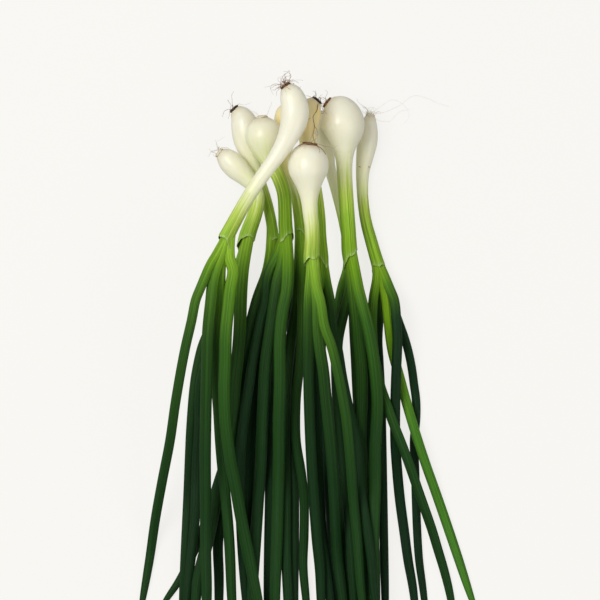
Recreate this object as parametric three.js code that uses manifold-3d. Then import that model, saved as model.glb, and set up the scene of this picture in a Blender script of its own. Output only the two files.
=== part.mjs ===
// A loose bunch of ten bulbing spring onions that lies on a flat surface.
// Millimetres, +Z up. The bulbs are at the +Y end and the leaf tips at the -Y end.
// The origin is on the surface, under the middle of the bunch.
//
// Each onion is three solids: the white bulb and shank, the green leaves, and the root plate with its roots.
// Routes are drawn in plan, as seen from above. Heights come from laying the onions down one after another:
// each stem rests on the surface and on the stems below it, and bends over them like a springy rod.
import * as THREE from "three";
import { mergeVertices } from "three/addons/utils/BufferGeometryUtils.js";
import Module from "manifold-3d";

const wasm = await Module();
wasm.setup();

// Driving dimensions
const PLAN_CENTRE = new THREE.Vector2(4.94, -50.28); // the plan point above the origin
const STEM_CREST_RADIUS = 180; // the tightest arc, seen from the side, of a stem that crosses another
const CLEARANCE = 0.8; // between the surfaces of two onions
const COLOUR_GAP = 0.3; // between the white, green and brown solids of one onion
const BULB_FLAT = 0.4; // how much of a bulb's underside is pressed flat
const PRESSED_RADIUS = 4.5; // a stem thicker than this is a bulb, and gets that flat
const LEAF_FLATNESS = 0.75; // a leaf's height over its width
const LEAF_ROOTED = 14; // length of a leaf that runs inside the shank it forks from
const LEAF_TIP_RADIUS = 0.35;
const LEAF_NECK = 0.12; // how much narrower a leaf is where it leaves the shank, as a share
const LEAF_NECK_LENGTH = 0.06; // a share of the leaf's length
const LEAF_POINT = [12, 0.7]; // powers that set how late and how bluntly a leaf tapers
const SETTLING_SPAN = 8; // heights are averaged over this length each way
const SAMPLE_STEP = 2.5; // spacing of the points that are laid down
const BULB_SIDES = 10;
const LEAF_SIDES = 6;
const BULB_LENGTH = 30; // the stretch of a spine that is finely stepped
const BULB_STEP = 3.4;
const SHANK_STEP = 10;
const FORK_STEP = 8;
const LEAF_STEP = 20;
const ROOTS_PER_BULB = 7;
const ROOT_RADIUS = 0.6;
const ROOT_LENGTH = [5, 11];
const ROOT_LEAN = [0.2, 1.1]; // radians from the bulb's axis
const ROOT_CURL = 0.4;
const ROOT_TIP_SHARE = 0.45; // a root's radius at its tip over that at its base
const ROOT_BASES = 0.6; // roots start within this share of the root plate's radius
const ROOT_TESTS = [0.25, 0.5, 0.75, 1]; // shares of a root's length at which it is tested
const ROOT_DRAWS = 80;
const ROOT_SEED = 101;
const ROOT_SIDES = 3;
const ROOT_TURN = new THREE.Vector3(0.3, 0.2, 1); // the first side of a root faces square to this
const ROOT_PLATE_THICKNESS = 1.2;
const ROOT_PLATE_SHARE = 0.85; // its radius over that of the bulb's foot
const ROOT_PLATE_TAPER = 0.7;
const CURVE_DIVISIONS = 400;
const WELD_DISTANCE = 1e-4;
const GROUND_BLOCK = [600, 600, 20];

const WHITE = new THREE.MeshStandardMaterial({ color: 0xece9dc, roughness: 0.35, metalness: 0 });
const GREEN = new THREE.MeshStandardMaterial({ color: 0x2f6b24, roughness: 0.5, metalness: 0 });
const BROWN = new THREE.MeshStandardMaterial({ color: 0xa98a5c, roughness: 0.9, metalness: 0 });

// The onions, in the order they are laid down. Plan points come before PLAN_CENTRE moves to the origin.
// spine: [x, y, radius] from the foot of the bulb to where the leaves fork.
// green: length of the spine, from the bulb's foot, where white turns to green.
// leaves: the half width, and the plan points after the fork.
const ONIONS = [
  {
    name: "onion_01",
    green: 44,
    spine: [
      [-35.8, 93.5, 3.2], [-32.6, 90, 6.2], [-30.3, 84.5, 7.6], [-29.3, 77, 7.4], [-27.2, 68, 5.2],
      [-24.6, 60, 3.8], [-21, 51, 3.2], [-18, 42, 3], [-16, 33, 3], [-14.5, 22.5, 3.1],
    ],
    leaves: [
      [2.6, [[-15.4, 13.8], [-18.7, -5.5], [-23.1, -27.5], [-27.5, -49.5], [-31.4, -71.5], [-36.3, -88],
        [-42.9, -104.5], [-49, -123.8], [-55.6, -143], [-62.7, -158.4], [-67.7, -167.2], [-73.7, -176],
        [-80.3, -188.1]]],
      [3, [[-16, 9.9], [-15.4, -11], [-15.4, -33], [-15.4, -55], [-16, -77], [-16.5, -99], [-16.5, -121],
        [-17.1, -148.5], [-17.6, -176], [-17.6, -206.3]]],
      [3.3, [[-16.5, 8.2], [-18.2, -5.5], [-20.9, -22], [-23.1, -38.5], [-24.8, -55], [-26.4, -77],
        [-27.2, -99], [-28.1, -121], [-28.6, -148.5], [-29.2, -176], [-27.5, -211.8]]],
      [3, [[-17.6, 6.6], [-23.7, -11], [-29.2, -33], [-32.5, -55], [-34.7, -77], [-37.4, -96.3],
        [-40.7, -112.8], [-43.5, -129.2], [-45.1, -145.8], [-44.6, -162.2], [-44.6, -176], [-45.7, -206.3]]],
    ],
  },
  {
    name: "onion_02",
    green: 50,
    spine: [
      [-4.5, 97, 3.8], [-5.5, 92, 7.8], [-6.3, 85, 8], [-7.5, 76, 5], [-8.5, 69, 3.4], [-7.5, 62, 2.9],
      [-5, 55, 2.8], [-2, 45, 3], [-0.5, 36, 3.2], [0.5, 27.5, 3.4],
    ],
    leaves: [
      [3, [[-0.6, 9.9], [-3.9, -2.8], [-5, -11], [-4.4, -33], [-4.4, -55], [-3.9, -77], [-3.9, -93.5],
        [-3.3, -121], [-3.3, -148.5], [-3.3, -176], [-1.7, -206.3]]],
      [3, [[-0.6, 7.7], [-1.7, -11], [-5, -33], [-7.2, -55], [-8.2, -77], [-8.2, -99], [-7.7, -121],
        [-7.7, -148.5], [-6.6, -176], [-5.5, -211.8]]],
      [2.7, [[1.1, 9.9], [1.1, -11], [0.6, -33], [-0.6, -49.5], [-2.2, -66], [-2.2, -88], [0.6, -105.6],
        [2.2, -121], [2.2, -140.2], [1.7, -156.8], [3.3, -176], [5.5, -203.5]]],
    ],
  },
  {
    name: "onion_03",
    green: 52,
    spine: [
      [12, 91.5, 3.4], [12.3, 87, 6.3], [13, 80, 6.3], [14.5, 72, 4.6], [16, 63, 3.4], [18.5, 54, 3],
      [21, 45, 3], [23.5, 35, 3], [25.5, 25, 3], [27, 17, 3.1],
    ],
    leaves: [
      [3, [[26.4, 6.6], [23.7, -2.8], [22, -11], [20.4, -27.5], [19.8, -44], [20.4, -66], [21.5, -88],
        [23.1, -110], [24.8, -132], [25.9, -154], [27, -176], [28.6, -206.3]]],
      [3, [[28.1, 6.6], [30.8, -5.5], [34.1, -22], [36.3, -38.5], [37.4, -55], [38, -77], [38.5, -99],
        [38.5, -121], [38, -148.5], [38, -176], [38.5, -203.5]]],
      [3.1, [[28.6, 6.6], [29.7, -5.5], [29.7, -22], [30.8, -44], [31.9, -66], [33.6, -88], [35.8, -110],
        [37.4, -132], [38.5, -154], [39.1, -176], [40.2, -211.8]]],
    ],
  },
  {
    name: "onion_04",
    green: 44,
    spine: [
      [38.6, 90, 2.8], [37.8, 84, 4.8], [37, 76, 5.6], [35.6, 67.5, 4.8], [34.4, 59, 3.7],
      [34.3, 49, 3.2], [35, 40, 3.1], [36.5, 31, 3.2], [38.8, 22.5, 3.4], [41.2, 14, 3.5], [43, 8, 3.6],
    ],
    leaves: [
      [2.6, [[44.6, 2.8], [45.1, -5.5], [44, -16.5], [42.9, -33], [43.5, -44], [44.6, -66], [45.1, -88],
        [45.7, -121], [46.2, -148.5], [46.8, -176], [47.3, -203.5]]],
      [2.5, [[45.7, 2.8], [50.1, -11], [53.9, -22], [57.8, -33], [60, -41.2], [61.6, -49.5],
        [62.7, -57.8], [63.8, -66], [63.8, -77], [62.7, -88], [63.3, -104.5], [63.8, -121],
        [64.4, -137.5], [65.5, -154], [67.7, -170.5], [71, -198]]],
      [2.8, [[45.1, 0], [47.3, -11], [48.4, -22], [50.6, -38.5], [54.5, -52.8], [58.9, -68.8],
        [63.8, -85.2], [69.3, -101.8], [74.8, -117.2], [80.3, -133.1], [86.4, -151.2], [94.6, -176],
        [99, -188.1]]],
      [2.9, [[46.8, 1.1], [49.5, -5.5], [51.7, -11], [52.8, -22], [53.4, -33], [52.8, -49.5],
        [52.3, -66], [52.3, -88], [53.4, -104.5], [55, -121], [57.2, -137.5], [59.4, -154],
        [62.2, -170.5], [64.9, -198]]],
      [2.8, [[42.4, 2.8], [40.2, -11], [39.6, -27.5], [40.7, -41.2], [42.4, -49.5], [44, -57.8],
        [46.8, -66], [50.6, -77], [56.1, -90.8], [61.1, -104.5], [64.9, -115.5], [68.8, -126.5],
        [72.6, -137.5], [75.9, -148.5], [79.2, -159.5], [82.5, -173.2], [86.4, -198]]],
    ],
  },
  {
    name: "onion_05",
    green: 33,
    spine: [
      [-43.8, 69.5, 3.3], [-40.4, 66.8, 5.8], [-35, 61.6, 6.6], [-29.6, 56.4, 5.2], [-25, 51, 4],
      [-23, 45.5, 3.7], [-23.6, 40, 3.9], [-25.6, 33.5, 4.2], [-28, 27, 4.4], [-29, 24, 4.5],
    ],
    leaves: [
      [2.8, [[-31.4, 13.8], [-35.2, 5.5], [-39.1, -5.5], [-44, -15.4], [-48.4, -24.8], [-53.4, -35.8],
        [-56.7, -49.5], [-58.3, -60.5], [-60, -82.5], [-60.5, -93.5], [-61.6, -121], [-62.7, -143],
        [-64.4, -176], [-65.5, -200.8]]],
      [2.8, [[-33, 9.9], [-38, -5.5], [-44, -22], [-49.5, -38.5], [-53.4, -50.6], [-55, -60.5],
        [-55.6, -82.5], [-56.7, -99], [-57.2, -115.5], [-57.8, -132], [-59.4, -148.5], [-62.2, -176],
        [-64.4, -206.3]]],
      [3.6, [[-30.8, 9.9], [-31.9, 0], [-32.5, -11], [-33, -27.5], [-34.1, -41.2], [-35.8, -57.8],
        [-36.9, -77], [-39.6, -96.3], [-43.5, -110], [-46.2, -121], [-50.6, -143], [-56.1, -165],
        [-57.2, -176], [-61.6, -200.8]]],
    ],
  },
  {
    name: "onion_06",
    green: 30,
    spine: [
      [15.4, 97, 4], [18.6, 94.4, 8.6], [21.6, 90.5, 11.2], [23.6, 84.8, 12], [24.2, 78.8, 10],
      [24.2, 72.5, 6.6], [24.2, 66, 4.8], [24.4, 57.5, 4.3], [25, 47.5, 4.2], [25.8, 36, 4.2],
      [26.6, 25, 4.2], [27, 16, 4.3],
    ],
    leaves: [
      [2.9, [[27.5, -2.8], [25.9, -11], [23.1, -22], [20.9, -33], [20.4, -44], [20.4, -60.5],
        [22, -82.5], [24.2, -104.5], [26.4, -126.5], [28.1, -148.5], [29.7, -176], [30.8, -203.5]]],
      [3.7, [[29.2, -2.8], [30.8, -19.2], [31.9, -33], [33, -44], [33.6, -55], [33.6, -66], [33, -82.5],
        [33, -99], [33.6, -121], [34.7, -143], [35.2, -176], [36.3, -209]]],
      [3.4, [[30.8, 0], [31.9, -5.5], [34.1, -13.8], [36.9, -24.8], [39.1, -35.8], [40.7, -46.8],
        [41.8, -57.8], [42.4, -68.8], [41.8, -82.5], [41.2, -93.5], [41.2, -110], [40.7, -126.5],
        [40.2, -143], [40.7, -154], [41.2, -176], [42.4, -211.8]]],
    ],
  },
  {
    name: "onion_07",
    green: 46,
    spine: [
      [9, 97.7, 3.4], [5.8, 93.5, 6.4], [4, 86, 6.7], [4, 77.5, 4.8], [5, 69, 3.6], [7, 60, 3],
      [9.5, 47.5, 2.8], [11, 35, 2.9], [11.5, 24, 3], [12.5, 12.5, 3.1],
    ],
    leaves: [
      [2.9, [[12.7, 2.8], [12.1, -16.5], [11.6, -33], [11, -49.5], [11.6, -66], [13.2, -88],
        [15.4, -110], [17.1, -132], [18.2, -154], [19.2, -176], [20.9, -203.5]]],
      [2.7, [[14.3, 0], [16.5, -11], [18.2, -27.5], [20.9, -38.5], [23.1, -52.3], [25.9, -66],
        [28.6, -77], [31.4, -88], [33.6, -115.5], [36.9, -137.5], [39.1, -154], [40.7, -170.5], [44, -198]]],
      [2.8, [[11.6, 2.8], [8.8, -11], [7.7, -27.5], [8.2, -44], [8.8, -66], [9.4, -88], [10.5, -110],
        [11.6, -132], [13.8, -154], [16.5, -176], [18.7, -209]]],
    ],
  },
  {
    name: "onion_08",
    green: 25,
    spine: [
      [-21, 88.6, 3.8], [-20.6, 85.6, 8], [-20, 80, 10.2], [-19.2, 74.5, 9.4], [-18.2, 69.5, 6.8],
      [-16.6, 65, 4.8], [-13.6, 60, 4.1], [-10.8, 54, 3.9], [-8.8, 47, 3.8], [-8.2, 38, 3.8],
      [-8, 30, 3.9], [-7.6, 25, 3.9],
    ],
    leaves: [
      [2.9, [[-11, 16.5], [-15.4, 8.2], [-18.2, 0], [-18.7, -11], [-21.5, -22], [-23.7, -33],
        [-25.9, -44], [-27.5, -55], [-29.2, -66], [-30.8, -77], [-32.5, -93.5], [-33, -110],
        [-32.5, -132], [-31.4, -154], [-29.7, -176], [-27.5, -200.8]]],
      [3.4, [[-9.4, 9.9], [-12.1, 0], [-13.8, -11], [-15.4, -22], [-17.1, -33], [-18.7, -44],
        [-19.8, -60.5], [-20.9, -82.5], [-21.5, -99], [-22.6, -115.5], [-23.7, -132], [-24.8, -148.5],
        [-25.9, -165], [-26.4, -176], [-27.5, -209]]],
      [3.4, [[-6.6, 9.9], [-7.2, -5.5], [-9.4, -16.5], [-11, -33], [-11, -55], [-11.6, -77],
        [-11.6, -99], [-12.1, -121], [-12.7, -143], [-13.8, -176], [-13.2, -214.5]]],
    ],
  },
  {
    name: "onion_09",
    green: 38,
    spine: [
      [5.4, 73.4, 4.8], [5, 70.6, 8.6], [4.5, 65, 11], [4.4, 59, 10.9], [4.6, 53.4, 8.2],
      [4.8, 48.4, 6], [5.1, 42.6, 4.6], [5.6, 36, 4.2], [6.4, 29, 4], [6.6, 21, 4.1], [6.2, 13, 4.3],
    ],
    leaves: [
      [3.1, [[6.1, 4.4], [5, -11], [4.7, -33], [4.7, -55], [5.5, -82.5], [6.6, -104.5], [7.7, -121],
        [9.4, -143], [11, -159.5], [11.6, -176], [12.7, -200.8]]],
      [3.3, [[8.2, 2.8], [9.4, -11], [9.9, -27.5], [11, -38.5], [12.7, -49.5], [14.3, -66],
        [17.1, -93.5], [18.7, -115.5], [19.8, -137.5], [20.9, -154], [23.7, -176], [26.4, -206.3]]],
      [2.8, [[8.8, -2.8], [11, -11], [12.1, -17.6], [13.2, -24.8], [17.1, -35.8], [20.4, -49.5],
        [22.6, -60.5], [25.3, -77], [27, -93.5], [29.2, -121], [31.4, -143], [33, -165], [34.1, -176],
        [36.3, -200.8]]],
    ],
  },
  {
    name: "onion_10",
    green: 66,
    spine: [
      [-7.6, 105, 3.6], [-5.5, 101.8, 6.1], [-3.2, 96, 7.4], [-2.8, 90, 7.8], [-4.3, 83, 6.9],
      [-8, 75, 5.3], [-13.5, 66, 4.3], [-19, 58.5, 3.9], [-25, 50, 3.8], [-30.5, 41, 3.8], [-36, 31, 4],
      [-40.5, 22.5, 4.1],
    ],
    leaves: [
      [3.1, [[-42.9, 9.9], [-43.5, -2.8], [-43.5, -11], [-44, -22], [-45.1, -35.8], [-45.7, -55],
        [-44.6, -71.5], [-43.5, -90.8], [-41.2, -115.5], [-39.6, -132], [-38.5, -148.5], [-37.4, -176],
        [-35.2, -206.3]]],
      [3.3, [[-44.6, 9.9], [-47.3, 0], [-48.4, -11], [-50.1, -27.5], [-50.6, -44], [-51.2, -66],
        [-51.7, -93.5], [-51.7, -121], [-51.7, -148.5], [-51.2, -176], [-53.4, -211.8]]],
      [2.8, [[-45.7, 13.2], [-48.4, 8.8], [-54.5, -5.5], [-56.7, -11], [-58.9, -22], [-62.7, -38.5],
        [-67.7, -66], [-71, -88], [-75.4, -110], [-79.5, -132], [-82.8, -154], [-86.6, -176],
        [-89.1, -189.8]]],
      [3.4, [[-38.5, 12.1], [-36.3, 5.5], [-38, -5.5], [-39.1, -16.5], [-40.2, -27.5], [-40.7, -44],
        [-41.2, -60.5], [-40.7, -77], [-39.1, -90.8], [-38, -99], [-35.8, -110], [-31.9, -132],
        [-27.5, -154], [-23.1, -176], [-17.6, -203.5]]],
    ],
  },
];

const smoothstep = (from, to, x) => THREE.MathUtils.smoothstep(x, from, to);

// A repeatable random number generator, of the linear congruential kind.
function seededRandom(seed) {
  const [factor, step, range] = [1664525, 1013904223, 2 ** 32];
  let state = seed;
  return () => {
    state = (state * factor + step) % range;
    return state / range;
  };
}

// Evenly spaced points of a smooth curve through plan points. A third value rides along as the curve's z.
function sampleCurve(points) {
  const curve = new THREE.CatmullRomCurve3(points.map(([x, y, r = 0]) => new THREE.Vector3(x, y, r)));
  curve.arcLengthDivisions = CURVE_DIVISIONS;
  return curve.getSpacedPoints(Math.ceil(curve.getLength() / SAMPLE_STEP));
}

// Distance travelled in plan at each sample.
function measure(samples) {
  samples.forEach((p, i) => {
    const before = samples[i - 1];
    p.s = before ? before.s + Math.hypot(p.x - before.x, p.y - before.y) : 0;
  });
  return samples;
}

function sampleSpine(onion) {
  const samples = sampleCurve(onion.spine).map((p) => ({
    x: p.x - PLAN_CENTRE.x,
    y: p.y - PLAN_CENTRE.y,
    wide: p.z,
    high: p.z,
  }));
  return measure(samples);
}

// Share of its full width that a leaf has at t, from 0 at its root to 1 at its tip.
const leafTaper = (t) =>
  (1 - LEAF_NECK * Math.exp(-t / LEAF_NECK_LENGTH)) * (1 - t ** LEAF_POINT[0]) ** LEAF_POINT[1];

function sampleLeaf(spine, [halfWidth, route]) {
  const end = spine.at(-1).s;
  const rooted = [LEAF_ROOTED, LEAF_ROOTED / 2].map((back) => {
    const p = at(spine, end - back);
    return [p.x + PLAN_CENTRE.x, p.y + PLAN_CENTRE.y];
  });
  const samples = measure(sampleCurve([...rooted, ...route]));
  const length = samples.at(-1).s;
  return samples.map(({ x, y, s }) => {
    const wide = Math.max(LEAF_TIP_RADIUS, halfWidth * leafTaper(s / length));
    return { x: x - PLAN_CENTRE.x, y: y - PLAN_CENTRE.y, s, wide, high: wide * LEAF_FLATNESS };
  });
}

// Values of a sampled stem at distance s along it.
function at(samples, s) {
  const next = samples.findIndex((p) => p.s >= s);
  if (next <= 0) return next === 0 ? { ...samples[0] } : { ...samples.at(-1) };
  const [a, b] = [samples[next - 1], samples[next]];
  const t = (s - a.s) / (b.s - a.s);
  const mixed = {};
  for (const key of Object.keys(a)) mixed[key] = a[key] + (b[key] - a[key]) * t;
  return mixed;
}

// The lowest height at which a sample clears the stems already laid.
function clearHeight(p, laid) {
  let height = 0;
  for (const q of laid) {
    const reach = p.wide + q.wide + CLEARANCE;
    const apart = Math.hypot(p.x - q.x, p.y - q.y) / reach;
    if (apart >= 1) continue;
    height = Math.max(height, q.z + (p.high + q.high + CLEARANCE) * Math.sqrt(1 - apart * apart));
  }
  return height;
}

// The height at which a sample rests on the bare surface: the flat under a faceted tube meets it.
function surfaceHeight(p, sides) {
  const flat = p.high * Math.cos(Math.PI / sides);
  return p.wide > PRESSED_RADIUS && sides === BULB_SIDES ? flat - BULB_FLAT : flat;
}

// Heights along a chain that is carried by `floors` and bends over them no tighter than the crest radius.
function bendOver(chain, floors) {
  const steps = chain.map((p, i) => (i ? Math.hypot(p.x - chain[i - 1].x, p.y - chain[i - 1].y) : 0));
  const along = [];
  steps.reduce((sum, step, i) => (along[i] = sum + step), 0);
  return chain.map((_, i) => {
    let height = 0;
    floors.forEach((floor, j) => {
      height = Math.max(height, floor - (along[i] - along[j]) ** 2 / (2 * STEM_CREST_RADIUS));
    });
    return height;
  });
}

function settle(heights) {
  const span = Math.round(SETTLING_SPAN / SAMPLE_STEP);
  const average = (list) =>
    list.map((_, i) => {
      const reach = Math.min(span, i, list.length - 1 - i);
      const near = list.slice(i - reach, i + reach + 1);
      return near.reduce((a, b) => a + b) / near.length;
    });
  return average(average(heights));
}

// Lays one onion on the stems already laid and gives its samples their heights.
function layOnion(onion, laid) {
  const spine = sampleSpine(onion);
  const leaves = onion.leaves.map((leaf) => sampleLeaf(spine, leaf));
  const fork = spine.at(-1).s;
  const shared = spine.filter((p) => p.s < fork - LEAF_ROOTED);
  const floorOf = (p, sides) => Math.max(surfaceHeight(p, sides), clearHeight(p, laid));
  const spineFloors = spine.map((p) => floorOf(p, BULB_SIDES));
  const leafFloors = leaves.map((leaf) => leaf.map((p) => floorOf(p, LEAF_SIDES)));

  // The whole onion is lifted at the fork as far as its own highest leaf asks.
  let spineHeights = bendOver(spine, spineFloors);
  leaves.forEach((leaf, k) => {
    const chain = [...shared, ...leaf];
    const heights = bendOver(chain, [...spineHeights.slice(0, shared.length), ...leafFloors[k]]);
    const raised = leaf.map((p, i) => ({ s: p.s, z: heights[shared.length + i] }));
    spineHeights = spineHeights.map((z, i) =>
      Math.max(z, i < shared.length ? heights[i] : at(raised, spine[i].s - fork + LEAF_ROOTED).z),
    );
  });
  spineHeights = bendOver(spine, spineHeights);
  settle(spineHeights).forEach((z, i) => (spine[i].z = z));

  // Past the fork each leaf is also lifted clear of the leaves of the same onion below it.
  const below = [];
  leaves.forEach((leaf, k) => {
    const shankHeight = (p) => (p.s < LEAF_ROOTED ? at(spine, p.s + fork - LEAF_ROOTED).z : 0);
    const siblingHeight = (p) => (p.s > 2 * LEAF_ROOTED ? clearHeight(p, below) : 0);
    const carried = leaf.map((p, i) => Math.max(leafFloors[k][i], shankHeight(p)));
    const alone = bendOver(leaf, carried);
    const stacked = bendOver(
      leaf,
      leaf.map((p, i) => Math.max(carried[i], siblingHeight(p))),
    );
    const heights = leaf.map((p, i) => {
      const share = smoothstep(LEAF_ROOTED, 3 * LEAF_ROOTED, p.s);
      return alone[i] + (stacked[i] - alone[i]) * share;
    });
    settle(heights).forEach((z, i) => (leaf[i].z = z));
    below.push(...leaf);
  });
  return { spine, leaves };
}

// A closed tube round the samples at the given distances, with flat ends.
function tube(samples, distances, sides) {
  const rings = distances.map((s) => {
    const p = at(samples, s);
    const before = at(samples, Math.max(0, s - SAMPLE_STEP));
    const after = at(samples, Math.min(samples.at(-1).s, s + SAMPLE_STEP));
    const along = new THREE.Vector3(after.x - before.x, after.y - before.y, after.z - before.z).normalize();
    const side = new THREE.Vector3(0, 0, 1).cross(along).normalize();
    return { p, side, up: along.clone().cross(side) };
  });
  const geometry = new THREE.CylinderGeometry(1, 1, 1, sides, rings.length - 1);
  const position = geometry.getAttribute("position");
  for (let i = 0; i < position.count; i++) {
    const { p, side, up } = rings[Math.round((position.getY(i) + 0.5) * (rings.length - 1))];
    const point = new THREE.Vector3(p.x, p.y, p.z)
      .addScaledVector(side, p.wide * position.getZ(i))
      .addScaledVector(up, p.high * position.getX(i));
    position.setXYZ(i, point.x, point.y, point.z);
  }
  return geometry;
}

function solid(geometry) {
  geometry.deleteAttribute("normal");
  geometry.deleteAttribute("uv");
  const merged = mergeVertices(geometry, WELD_DISTANCE);
  return new wasm.Manifold(
    new wasm.Mesh({
      numProp: 3,
      vertProperties: new Float32Array(merged.getAttribute("position").array),
      triVerts: new Uint32Array(merged.index.array),
    }),
  );
}

function meshOf(manifold, name, material) {
  const { vertProperties, triVerts, numProp, numVert } = manifold.getMesh();
  const positions = new Float32Array(numVert * 3);
  for (let i = 0; i < numVert; i++) {
    positions.set(vertProperties.subarray(i * numProp, i * numProp + 3), 3 * i);
  }
  const geometry = new THREE.BufferGeometry();
  geometry.setAttribute("position", new THREE.BufferAttribute(positions, 3));
  geometry.setIndex(new THREE.BufferAttribute(triVerts, 1));
  geometry.computeVertexNormals();
  const mesh = new THREE.Mesh(geometry, material);
  mesh.name = name;
  return mesh;
}

// Distances from one value to another in about equal steps.
function steps(from, to, step) {
  const count = Math.max(1, Math.round((to - from) / step));
  return Array.from({ length: count + 1 }, (_, i) => from + ((to - from) * i) / count);
}

// What lies under the surface, to press flats on the bulbs.
const UNDERGROUND = solid(new THREE.BoxGeometry(...GROUND_BLOCK).translate(0, 0, -GROUND_BLOCK[2] / 2));

function bulbSolid({ spine }, green) {
  const end = green - COLOUR_GAP / 2;
  const distances = [...steps(0, BULB_LENGTH - BULB_STEP, BULB_STEP), ...steps(BULB_LENGTH, end, SHANK_STEP)];
  const kept = distances.filter((s, i) => s <= end && (i === 0 || s > distances[i - 1]));
  return solid(tube(spine, kept.at(-1) < end ? [...kept, end] : kept, BULB_SIDES)).subtract(UNDERGROUND);
}

function leavesSolid({ spine, leaves }, green) {
  const shank = solid(tube(spine, steps(green + COLOUR_GAP / 2, spine.at(-1).s, SHANK_STEP), BULB_SIDES));
  return leaves.reduce((sum, leaf) => {
    const length = leaf.at(-1).s;
    const forked = 3 * FORK_STEP;
    const distances = [...steps(0, forked, FORK_STEP), ...steps(forked, length, LEAF_STEP).slice(1)];
    return sum.add(solid(tube(leaf, distances, LEAF_SIDES)));
  }, shank);
}

// Hair roots stand out of the root plate in a brush. A drawn root that would meet another onion is left out.
function rootsSolid({ spine }, others, random) {
  const foot = spine[0];
  const next = at(spine, 2 * SAMPLE_STEP);
  const out = new THREE.Vector3(foot.x - next.x, foot.y - next.y, foot.z - next.z).normalize();
  const turn = new THREE.Quaternion().setFromUnitVectors(new THREE.Vector3(0, 1, 0), out);
  const start = new THREE.Vector3(foot.x, foot.y, foot.z).addScaledVector(out, COLOUR_GAP);
  const radius = foot.wide * ROOT_PLATE_SHARE;
  const top = radius * ROOT_PLATE_TAPER;
  const plate = new THREE.CylinderGeometry(top, radius, ROOT_PLATE_THICKNESS, BULB_SIDES)
    .translate(0, ROOT_PLATE_THICKNESS / 2, 0)
    .applyQuaternion(turn)
    .translate(start.x, start.y, start.z);
  const near = others.filter((q) => Math.hypot(q.x - foot.x, q.y - foot.y) < 2 * ROOT_LENGTH[1]);
  let sum = solid(plate);
  let made = 0;
  for (let drawn = 0; drawn < ROOT_DRAWS && made < ROOTS_PER_BULB; drawn++) {
    const bearing = random() * 2 * Math.PI;
    const lean = THREE.MathUtils.lerp(...ROOT_LEAN, random());
    const length = THREE.MathUtils.lerp(...ROOT_LENGTH, random());
    const curl = THREE.MathUtils.lerp(-ROOT_CURL, ROOT_CURL, random());
    const offset = radius * ROOT_BASES * random();
    const away = new THREE.Vector3(Math.cos(bearing), 0, Math.sin(bearing));
    const place = (share) =>
      new THREE.Vector3(0, ROOT_PLATE_THICKNESS / 2 + length * share * Math.cos(lean), 0)
        .addScaledVector(away, offset + length * share * (Math.sin(lean) + curl * share))
        .applyQuaternion(turn)
        .add(start);
    const points = ROOT_TESTS.map(place);
    if (points.some((p) => p.z < 2 * ROOT_RADIUS || near.some((q) => meets(p, q)))) continue;
    made++;
    sum = sum.add(solid(bentCone(place(0), place(0.5), place(1), ROOT_RADIUS)));
  }
  return sum;
}

const meets = (p, q) => Math.hypot(p.x - q.x, p.y - q.y, p.z - q.z) < q.wide + CLEARANCE + SAMPLE_STEP / 2;

// A three-sided tapering spike through three points.
function bentCone(base, middle, tip, radius) {
  const geometry = new THREE.CylinderGeometry(radius * ROOT_TIP_SHARE, radius, 1, ROOT_SIDES, 2);
  const position = geometry.getAttribute("position");
  const along = tip.clone().sub(base).normalize();
  const side = ROOT_TURN.clone().cross(along).normalize();
  const up = along.clone().cross(side);
  for (let i = 0; i < position.count; i++) {
    const row = Math.round((position.getY(i) + 0.5) * 2);
    const point = [base, middle, tip][row]
      .clone()
      .addScaledVector(side, position.getZ(i))
      .addScaledVector(up, position.getX(i));
    position.setXYZ(i, point.x, point.y, point.z);
  }
  return geometry;
}

function buildBunch() {
  const bunch = new THREE.Group();
  const laid = [];
  const onions = ONIONS.map((onion) => {
    const { spine, leaves } = layOnion(onion, laid);
    laid.push(...spine, ...leaves.flat());
    return { onion, spine, leaves };
  });
  onions.forEach(({ onion, spine, leaves }, i) => {
    const others = onions.filter((o) => o.onion !== onion).flatMap((o) => o.spine);
    bunch.add(meshOf(bulbSolid({ spine }, onion.green), onion.name + "_bulb", WHITE));
    bunch.add(meshOf(leavesSolid({ spine, leaves }, onion.green), onion.name + "_leaves", GREEN));
    const random = seededRandom(ROOT_SEED + i);
    bunch.add(meshOf(rootsSolid({ spine }, others, random), onion.name + "_roots", BROWN));
  });
  return bunch;
}

export default buildBunch();
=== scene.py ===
import math
import random

import bpy
import numpy as np
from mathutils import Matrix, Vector


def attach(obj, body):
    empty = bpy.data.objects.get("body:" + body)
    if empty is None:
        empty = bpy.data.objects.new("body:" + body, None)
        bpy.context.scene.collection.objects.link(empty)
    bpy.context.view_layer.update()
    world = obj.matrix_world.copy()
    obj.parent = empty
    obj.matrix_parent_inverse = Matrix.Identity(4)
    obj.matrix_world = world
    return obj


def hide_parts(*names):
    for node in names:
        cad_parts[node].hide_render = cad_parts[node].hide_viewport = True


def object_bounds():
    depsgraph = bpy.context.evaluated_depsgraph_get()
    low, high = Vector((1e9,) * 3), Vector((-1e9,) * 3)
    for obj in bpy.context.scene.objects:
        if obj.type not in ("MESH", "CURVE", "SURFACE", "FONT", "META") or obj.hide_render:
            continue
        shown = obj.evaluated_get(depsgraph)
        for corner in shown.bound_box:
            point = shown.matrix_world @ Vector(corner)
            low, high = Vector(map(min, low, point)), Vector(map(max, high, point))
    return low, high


# A loose bunch of ten bulbing spring onions that lies on a pale surface, seen from straight above.
# Routes are drawn in plan, in millimetres. Heights come from laying the onions down one after another:
# each stem rests on the surface and on the stems below it, and bends over them like a springy rod.

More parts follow.
